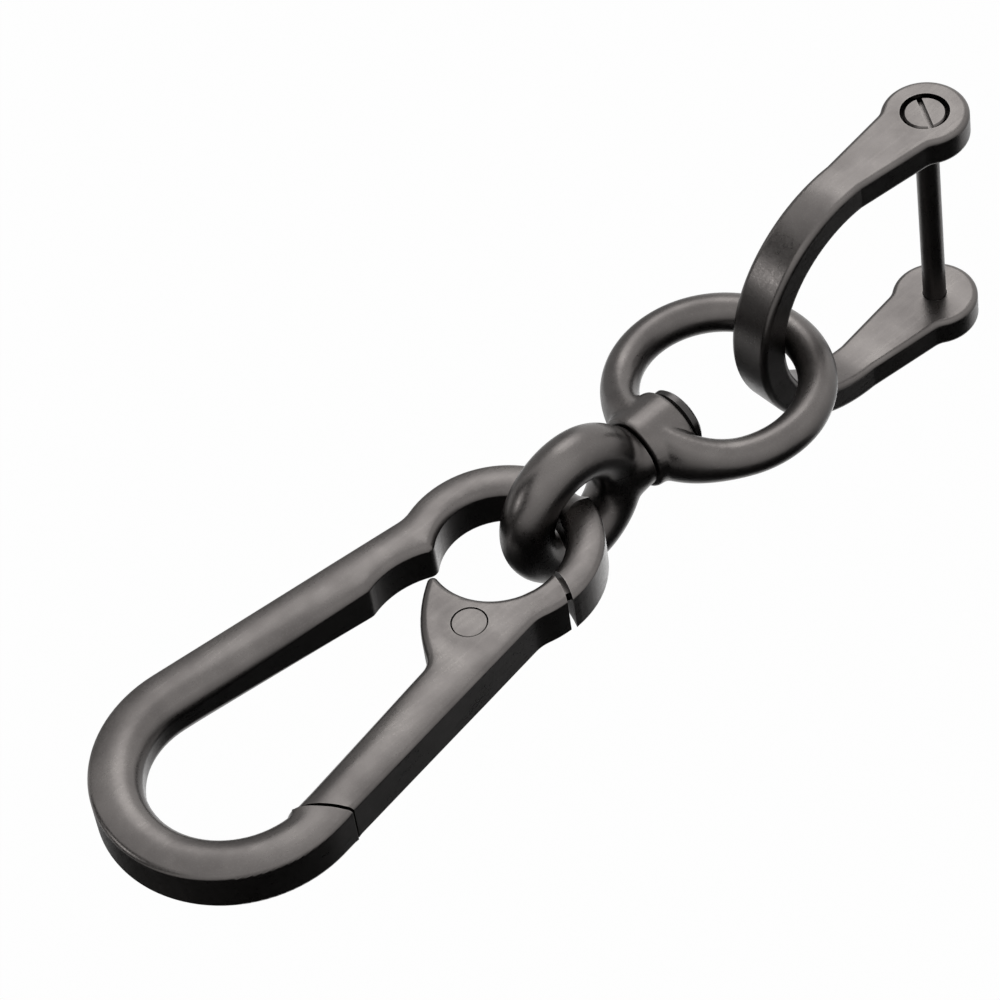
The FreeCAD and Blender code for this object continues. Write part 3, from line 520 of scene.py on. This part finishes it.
class KEYCLIP_OT_swivel_eye(bpy.types.Operator):
    """Thick loop that flows into the foot under the collar"""

    bl_idname = "keyclip.swivel_eye"
    bl_label = "Swivel eye"

    def execute(self, context):
        sizes = context.scene.keyclip_sizes
        low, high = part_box("swivel_eye")
        foot = low.z
        centre = foot + sizes.shoulder_drop
        loop = torus(sizes.loop_radius, sizes.loop_wire, centre, (0, math.pi / 2, 0))
        join_in(loop, cylinder(sizes.shoulder_radius, foot - FOOT_BELOW, foot + FOOT_ABOVE), "UNION")
        join_in(loop, egg(JOINT_SIZE, foot + JOINT_RISE), "UNION")
        soften(loop, sizes.grid_fine, foot + FOOT_FLOW_RISE, FOOT_FLOW_REACH)
        join_in(loop, cylinder(TRIM_RADIUS, foot - TRIM_DEPTH, foot), "DIFFERENCE")
        join_in(loop, cylinder(sizes.socket_radius, foot - HOLE_SPARE, foot + SOCKET_DEPTH), "DIFFERENCE")
        hand_over(loop, "swivel_loop", "swivel_eye", "satin_casting")
        return {"FINISHED"}


class KEYCLIP_OT_swivel_ring(bpy.types.Operator):
    """Ring whose bar swells into the barrel collar"""

    bl_idname = "keyclip.swivel_ring"
    bl_label = "Ring with collar"

    def execute(self, context):
        sizes = context.scene.keyclip_sizes
        low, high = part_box("swivel_ring")
        centre = low.z + sizes.ring_radius + sizes.ring_bar
        start = centre + sizes.collar_low
        end = centre + sizes.collar_high
        ring = torus(sizes.ring_radius, sizes.ring_bar, centre, (math.pi / 2, 0, 0))
        swell(ring, centre, sizes)
        join_in(ring, cylinder(sizes.collar_radius, start, end), "UNION")
        soften(ring, sizes.grid_fine, (start + end) / 2, COLLAR_FLOW_REACH)
        join_in(ring, cylinder(TRIM_RADIUS, end, end + TRIM_DEPTH), "DIFFERENCE")
        join_in(ring, cylinder(INNER_TRIM_RADIUS, start - INNER_TRIM_DEPTH, start), "DIFFERENCE")
        join_in(ring, cylinder(sizes.bore_radius, start - HOLE_SPARE, end + HOLE_SPARE), "DIFFERENCE")
        hand_over(ring, "collar_ring", "swivel_ring", "satin_casting")
        return {"FINISHED"}


def add_node(tree, kind, inputs=None, **settings):
    """A node with its settings; an input is a number, a colour or another node's output."""
    made = tree.nodes.new("ShaderNode" + kind)
    for name, value in settings.items():
        setattr(made, name, value)
    for name, value in (inputs or {}).items():
        if isinstance(value, bpy.types.NodeSocket):
            tree.links.new(value, made.inputs[name])
        else:
            made.inputs[name].default_value = value
    return made


def math_node(tree, operation, first, second):
    return add_node(tree, "Math", {0: first, 1: second}, operation=operation).outputs[0]


def ramp(tree, value, start, end, low=0.0, high=1.0):
    """The value from start to end, made low to high."""
    inputs = {"Value": value, "From Min": start, "From Max": end, "To Min": low, "To Max": high}
    return add_node(tree, "MapRange", inputs).outputs[0]


def blend(tree, share, first, second):
    """First colour at share 0, second at 1."""
    return add_node(tree, "Mix", {0: share, 6: first, 7: second}, data_type="RGBA").outputs[2]


def new_group(name, inputs, outputs):
    """A node group of numbers, with the sockets that come in and go out."""
    tree = bpy.data.node_groups.new(name, "ShaderNodeTree")
    for title, value in inputs:
        socket = tree.interface.new_socket(name=title, in_out="INPUT", socket_type="NodeSocketFloat")
        socket.default_value = value
    for title in outputs:
        tree.interface.new_socket(name=title, in_out="OUTPUT", socket_type="NodeSocketFloat")
    entry = tree.nodes.new("NodeGroupInput")
    leave = tree.nodes.new("NodeGroupOutput")
    return tree, entry.outputs, leave.inputs


def make_cast_grain():
    """Fine cast grain, slow drift of tone and faint rubbed lines, all on the object itself."""
    tree, given, put = new_group(
        "cast_grain", [("Grain scale", 5200.0), ("Drift scale", 170.0)], ["Grain", "Drift", "Rubbed"],
    )
    place = add_node(tree, "TexCoord").outputs["Object"]
    grain = add_node(tree, "TexNoise", {
        "Vector": place, "Scale": given["Grain scale"], "Detail": 3.0, "Roughness": 0.6,
    })
    drift = add_node(tree, "TexNoise", {
        "Vector": place, "Scale": given["Drift scale"], "Detail": 4.0, "Roughness": 0.55,
    })
    long_way = add_node(tree, "Mapping", {"Vector": place, "Scale": RUBBED_SCALE})
    rubbed = add_node(tree, "TexNoise", {"Vector": long_way.outputs[0], "Scale": 1.0, "Detail": 2.0})
    tree.links.new(grain.outputs[0], put["Grain"])
    tree.links.new(ramp(tree, drift.outputs[0], 0.3, 0.7), put["Drift"])
    tree.links.new(ramp(tree, rubbed.outputs[0], 0.45, 0.75), put["Rubbed"])
    return tree


def make_edge_wear_and_glint():
    """Mask of sharp edges, broken up by noise: rubbed wear that also paints a highlight along the edges.
    """
    tree, given, put = new_group("edge_wear_and_glint", [("Radius", 0.00025), ("Breakup", 900.0)], ["Worn"])
    place = add_node(tree, "TexCoord").outputs["Object"]
    rounded = add_node(tree, "Bevel", {"Radius": given["Radius"]}, samples=6)
    surface = add_node(tree, "NewGeometry")
    same = add_node(
        tree, "VectorMath", {0: rounded.outputs[0], 1: surface.outputs["Normal"]}, operation="DOT_PRODUCT",
    )
    edge = ramp(tree, same.outputs["Value"], 0.95, 0.8)
    noise = add_node(tree, "TexNoise", {"Vector": place, "Scale": given["Breakup"], "Detail": 3.0})
    broken = ramp(tree, noise.outputs[0], 0.3, 0.65)
    tree.links.new(math_node(tree, "MULTIPLY", edge, broken), put["Worn"])
    return tree


def make_painted_wall_shade():
    """Mask for painted shade on the walls: 1 on faces that lie in the clip's plane, 0 on the upright walls
    between, which are painted darker.
    """
    tree, given, put = new_group("painted_wall_shade", [("From", 0.25), ("To", 0.8)], ["Brushed"])
    normal = add_node(tree, "TexCoord").outputs["Normal"]
    across = add_node(tree, "SeparateXYZ", {0: normal}).outputs["Y"]
    facing_out = add_node(tree, "Math", {0: across}, operation="ABSOLUTE").outputs[0]
    tree.links.new(ramp(tree, facing_out, given["From"], given["To"]), put["Brushed"])
    return tree


def rgba(shade):
    return (shade[0], shade[1], shade[2], 1.0)


def metal(name, light, deep, bare, groups, rough, relief, speckle, wall):
    """Satin metal: drifting tone, grain in bump and roughness, painted shade on the upright walls, edges
    rubbed lighter with a painted highlight.
    """
    made = bpy.data.materials.new(name)
    made.use_nodes = True
    tree = made.node_tree
    shader = tree.nodes["Principled BSDF"]
    shader.inputs["Metallic"].default_value = 1.0
    grain = add_node(tree, "Group", node_tree=groups["cast_grain"]).outputs
    worn_and_glint = add_node(tree, "Group", node_tree=groups["edge_wear_and_glint"]).outputs["Worn"]
    unshaded_share = add_node(tree, "Group", node_tree=groups["painted_wall_shade"]).outputs["Brushed"]

    tone = blend(tree, grain["Drift"], rgba(deep), rgba(light))
    specks = ramp(tree, grain["Grain"], 0.5, 0.75, 0.0, speckle)
    speckled = blend(tree, specks, tone, rgba(bare))
    # Painted shade on the upright walls: there the deep colour is cut to the wall share, so the walls
    # render darker than the faces.
    dark = [share * wall for share in deep]
    faces = blend(tree, unshaded_share, rgba(dark), speckled)
    # Rubbed edges go towards bare metal: wear, and also a painted highlight along the edges.
    edges = math_node(tree, "MULTIPLY", worn_and_glint, EDGE_SHARE)
    tree.links.new(blend(tree, edges, faces, rgba(bare)), shader.inputs["Base Color"])

    spread = math_node(tree, "ADD", ramp(tree, grain["Grain"], 0.3, 0.7, -0.05, 0.06), rough)
    spread = math_node(tree, "ADD", spread, ramp(tree, grain["Drift"], 0.0, 1.0, 0.03, -0.03))
    gloss = math_node(tree, "MULTIPLY", grain["Rubbed"], RUBBED_GLOSS)
    tree.links.new(math_node(tree, "SUBTRACT", spread, gloss), shader.inputs["Roughness"])

    lines = math_node(tree, "MULTIPLY", grain["Rubbed"], RUBBED_RELIEF)
    height = math_node(tree, "ADD", grain["Grain"], lines)
    bump = add_node(tree, "Bump", {"Strength": RELIEF_STRENGTH, "Distance": relief, "Height": height})
    tree.links.new(bump.outputs[0], shader.inputs["Normal"])


class KEYCLIP_OT_finishes(bpy.types.Operator):
    """Satin castings, black nickel and spring wire"""

    bl_idname = "keyclip.finishes"
    bl_label = "Finishes"

    def execute(self, context):
        shades = context.scene.keyclip_colours
        bare = shades.bare_edge_and_glint
        groups = {
            "cast_grain": make_cast_grain(),
            "edge_wear_and_glint": make_edge_wear_and_glint(),
            "painted_wall_shade": make_painted_wall_shade(),
        }
        # The wall share sets how dark the painted shade on the upright walls is.
        metal(
            "satin_casting", shades.casting, shades.casting_deep, bare, groups,
            rough=0.34, relief=0.01 * MM, speckle=0.15, wall=0.45,
        )
        metal(
            "black_nickel", shades.black_nickel, shades.black_nickel_deep, bare, groups,
            rough=0.28, relief=0.005 * MM, speckle=0.06, wall=0.45,
        )
        metal(
            "spring_wire", shades.spring_steel, shades.spring_steel, bare, groups,
            rough=0.25, relief=0.003 * MM, speckle=0.0, wall=1.0,
        )
        wearing = {
            "gate_pivot_pin": "satin_casting",
            "gate_spring": "spring_wire",
            "swivel_rivet": "black_nickel",
            "shackle": "satin_casting",
            "shackle_screw": "satin_casting",
        }
        for node, finish in wearing.items():
            solid = frame["nodes"][node]
            solid.data.materials.clear()
            solid.data.materials.append(bpy.data.materials[finish])
        return {"FINISHED"}


def camera_axes(settings):
    """Picture's width and depth in the clip's plane, then right, up and back of the camera."""
    turn = settings.chain_turn
    lift = settings.camera_lift
    roll = settings.camera_roll
    across = Vector((-math.sin(turn), 0, -math.cos(turn)))
    away = Vector((math.cos(turn), 0, -math.sin(turn)))
    rise = away * math.sin(lift) - Y * math.cos(lift)
    right = across * math.cos(roll) - rise * math.sin(roll)
    up = across * math.sin(roll) + rise * math.cos(roll)
    return across, away, right, up, right.cross(up)


def facing(place, target):
    """Turn of a lamp or card at the place that looks at the target."""
    return (target - place).to_track_quat("-Z", "Y").to_euler()


def softbox(name, target, way, distance, width, height, bright):
    """A soft lamp that shines on the target from the given way."""
    place = target + Vector(way).normalized() * distance
    deselect()
    bpy.ops.object.light_add(type="AREA", location=place, rotation=facing(place, target))
    lamp = bpy.context.object
    lamp.name = name
    lamp.data.shape = "RECTANGLE"
    lamp.data.size = width
    lamp.data.size_y = height
    lamp.data.energy = bright * math.pi * width * height
    lamp.visible_camera = False


def bare_material(name):
    """A material with no shader yet."""
    made = bpy.data.materials.new(name)
    made.use_nodes = True
    made.node_tree.nodes.clear()
    return made, made.node_tree


def show(tree, shader):
    """Makes the shader the material's surface."""
    end = add_node(tree, "OutputMaterial")
    tree.links.new(shader.outputs[0], end.inputs["Surface"])


def flag(name, target, way, distance, width, shade):
    """A dark card beside the clip, seen only in what the metal mirrors."""
    place = target + Vector(way).normalized() * distance
    deselect()
    bpy.ops.mesh.primitive_plane_add(size=width, location=place, rotation=facing(place, target))
    card = bpy.context.object
    card.name = name
    card.visible_camera = False
    card.visible_diffuse = False
    card.visible_transmission = False
    made, tree = bare_material(name)
    show(tree, add_node(tree, "Emission", {"Color": (shade, shade, shade, 1.0), "Strength": 1.0}))
    card.data.materials.append(made)


def seen_rays(tree):
    """1 for what the camera, gloss and glass see, 0 for light that falls on the object."""
    path = add_node(tree, "LightPath").outputs
    total = math_node(tree, "ADD", path["Is Camera Ray"], path["Is Glossy Ray"])
    total = math_node(tree, "ADD", total, path["Is Transmission Ray"])
    return math_node(tree, "MINIMUM", total, 1.0)


class KEYCLIP_OT_stage(bpy.types.Operator):
    """Camera at the photograph's angle, pale floor, soft lamps and dark cards"""

    bl_idname = "keyclip.stage"
    bl_label = "Stage"

    def execute(self, context):
        settings = context.scene.keyclip_stage
        across, away, right, up, back = camera_axes(settings)
        target = HOOK_FACE + across * settings.aim_across + away * settings.aim_away
        deselect()
        bpy.ops.object.camera_add(location=target + back * settings.camera_distance)
        camera = context.object
        camera.name = "photo_camera"
        camera.rotation_euler = Matrix((right, up, back)).transposed().to_euler()
        camera.data.lens = settings.lens
        camera.data.sensor_width = SENSOR_WIDTH
        camera.data.clip_start = NEAREST_SEEN
        context.scene.camera = camera
        self.floor(context, settings)
        self.world(context)
        for name, way, distance, width, height, bright in LAMPS:
            softbox(name, target, way, distance, width, height, bright)
        for name, way, distance, width, shade in FLAGS:
            flag(name, target, way, distance, width, shade)
        return {"FINISHED"}

    def floor(self, context, settings):
        low = CAD_BOX[0].z - settings.floor_drop
        bpy.ops.mesh.primitive_plane_add(size=FLOOR_SIZE, location=(0, 0, low))
        floor = context.object
        floor.name = "floor"
        made, tree = bare_material("pale_floor")
        matt = add_node(tree, "BsdfDiffuse", {"Color": rgba(settings.floor_colour)})
        white = add_node(tree, "Emission", {"Color": WHITE, "Strength": 1.0})
        share = math_node(tree, "MULTIPLY", seen_rays(tree), FLOOR_WHITE)
        show(tree, add_node(tree, "MixShader", {0: share, 1: matt.outputs[0], 2: white.outputs[0]}))
        floor.data.materials.append(made)

    def world(self, context):
        made = bpy.data.worlds.new("studio")
        context.scene.world = made
        made.use_nodes = True
        tree = made.node_tree
        background = tree.nodes["Background"]
        background.inputs["Color"].default_value = WHITE
        shade = ramp(tree, seen_rays(tree), 0.0, 1.0, WORLD_LIGHT, 1.0)
        tree.links.new(shade, background.inputs["Strength"])


class KEYCLIP_PT_panel(bpy.types.Panel):
    """Lists the pieces of the key clip"""

    bl_idname = "KEYCLIP_PT_panel"
    bl_label = "Key clip"
    bl_space_type = "VIEW_3D"
    bl_region_type = "UI"
    bl_category = "Key clip"

    def draw(self, context):
        for maker in MAKERS:
            self.layout.operator(maker.bl_idname)


SETTINGS = {
    "keyclip_sizes": CastingSizes,
    "keyclip_colours": FinishColours,
    "keyclip_stage": StageSettings,
}
MAKERS = (
    KEYCLIP_OT_finishes,
    KEYCLIP_OT_clip_and_gate,
    KEYCLIP_OT_swivel_eye,
    KEYCLIP_OT_swivel_ring,
    KEYCLIP_OT_stage,
)


def register():
    for cls in (*SETTINGS.values(), *MAKERS, KEYCLIP_PT_panel):
        bpy.utils.register_class(cls)
    for name, cls in SETTINGS.items():
        setattr(bpy.types.Scene, name, bpy.props.PointerProperty(type=cls))


def unregister():
    for name in SETTINGS:
        delattr(bpy.types.Scene, name)
    for cls in (KEYCLIP_PT_panel, *MAKERS, *SETTINGS.values()):
        bpy.utils.unregister_class(cls)


def main():
    register()
    bpy.context.scene.view_settings.view_transform = "Standard"
    bpy.ops.keyclip.finishes()
    bpy.ops.keyclip.clip_and_gate()
    bpy.ops.keyclip.swivel_eye()
    bpy.ops.keyclip.swivel_ring()
    bpy.ops.keyclip.stage()
    deselect()


if __name__ == "__main__":
    main()
